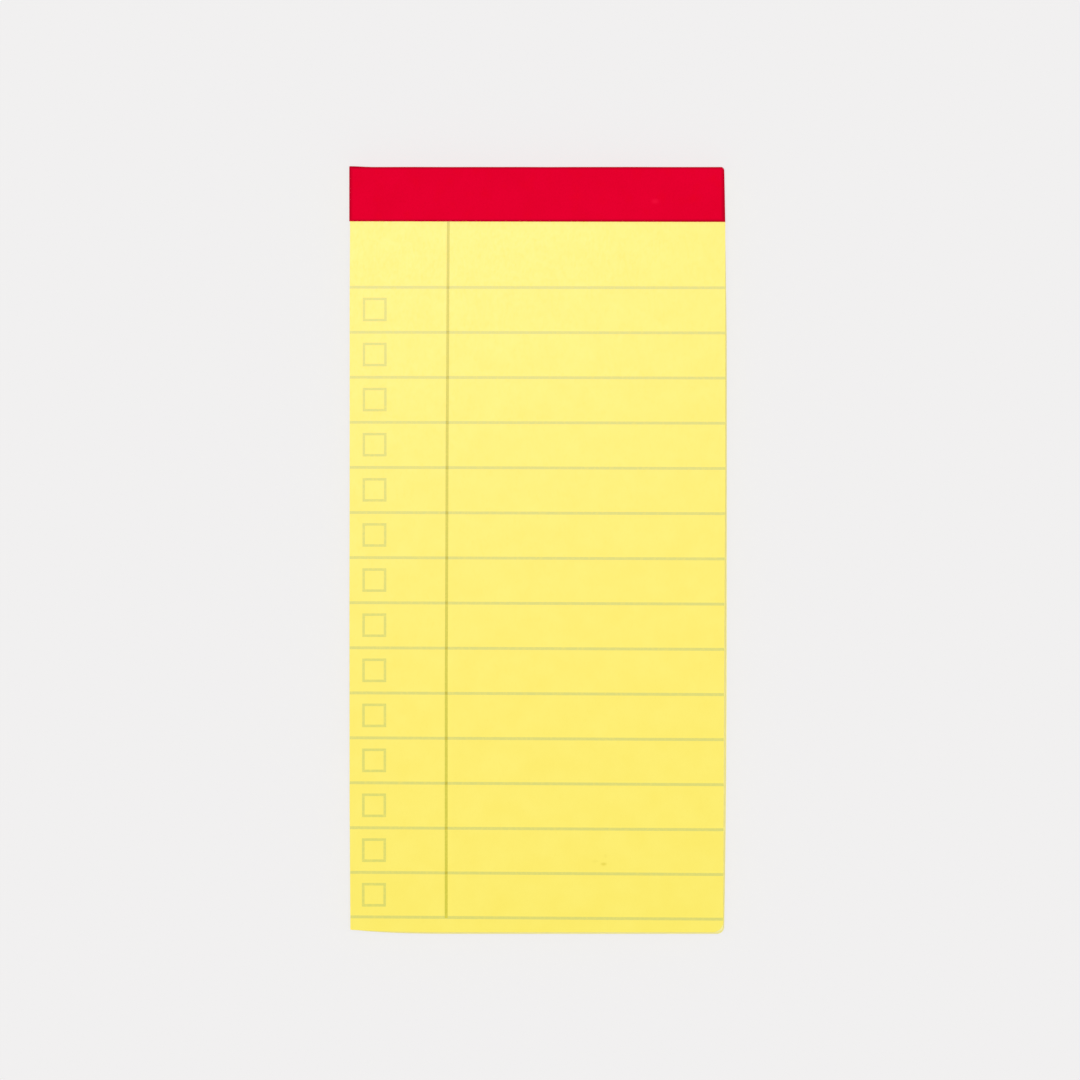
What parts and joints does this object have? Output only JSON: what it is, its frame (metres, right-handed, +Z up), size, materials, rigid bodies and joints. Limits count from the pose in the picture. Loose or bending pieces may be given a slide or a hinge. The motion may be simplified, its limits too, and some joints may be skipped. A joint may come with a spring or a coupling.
{
  "type": "sticky note pad",
  "caption": "Tall narrow sticky note pad: ruled yellow checklist sheets on a chipboard back, bound along the top edge with red tape.",
  "frame": {"origin": "bottom centre of the pad's bounding box, where it lies on the table", "axes": "+Z up from the table through the writing face, +Y along the sheets' length towards the bound edge, +X to the right of the writing face"},
  "size_m": [0.0754, 0.153, 0.006],
  "materials": {
    "yellow_paper": "matte",
    "grey_chipboard": "matte",
    "padding_glue": "satin",
    "red_tape": "matte"
  },
  "bodies": {
    "root": {"note_sheets": "yellow_paper", "backing_board": "grey_chipboard", "padding_glue": "padding_glue", "binding_tape": "red_tape"}
  },
  "joints": []
}
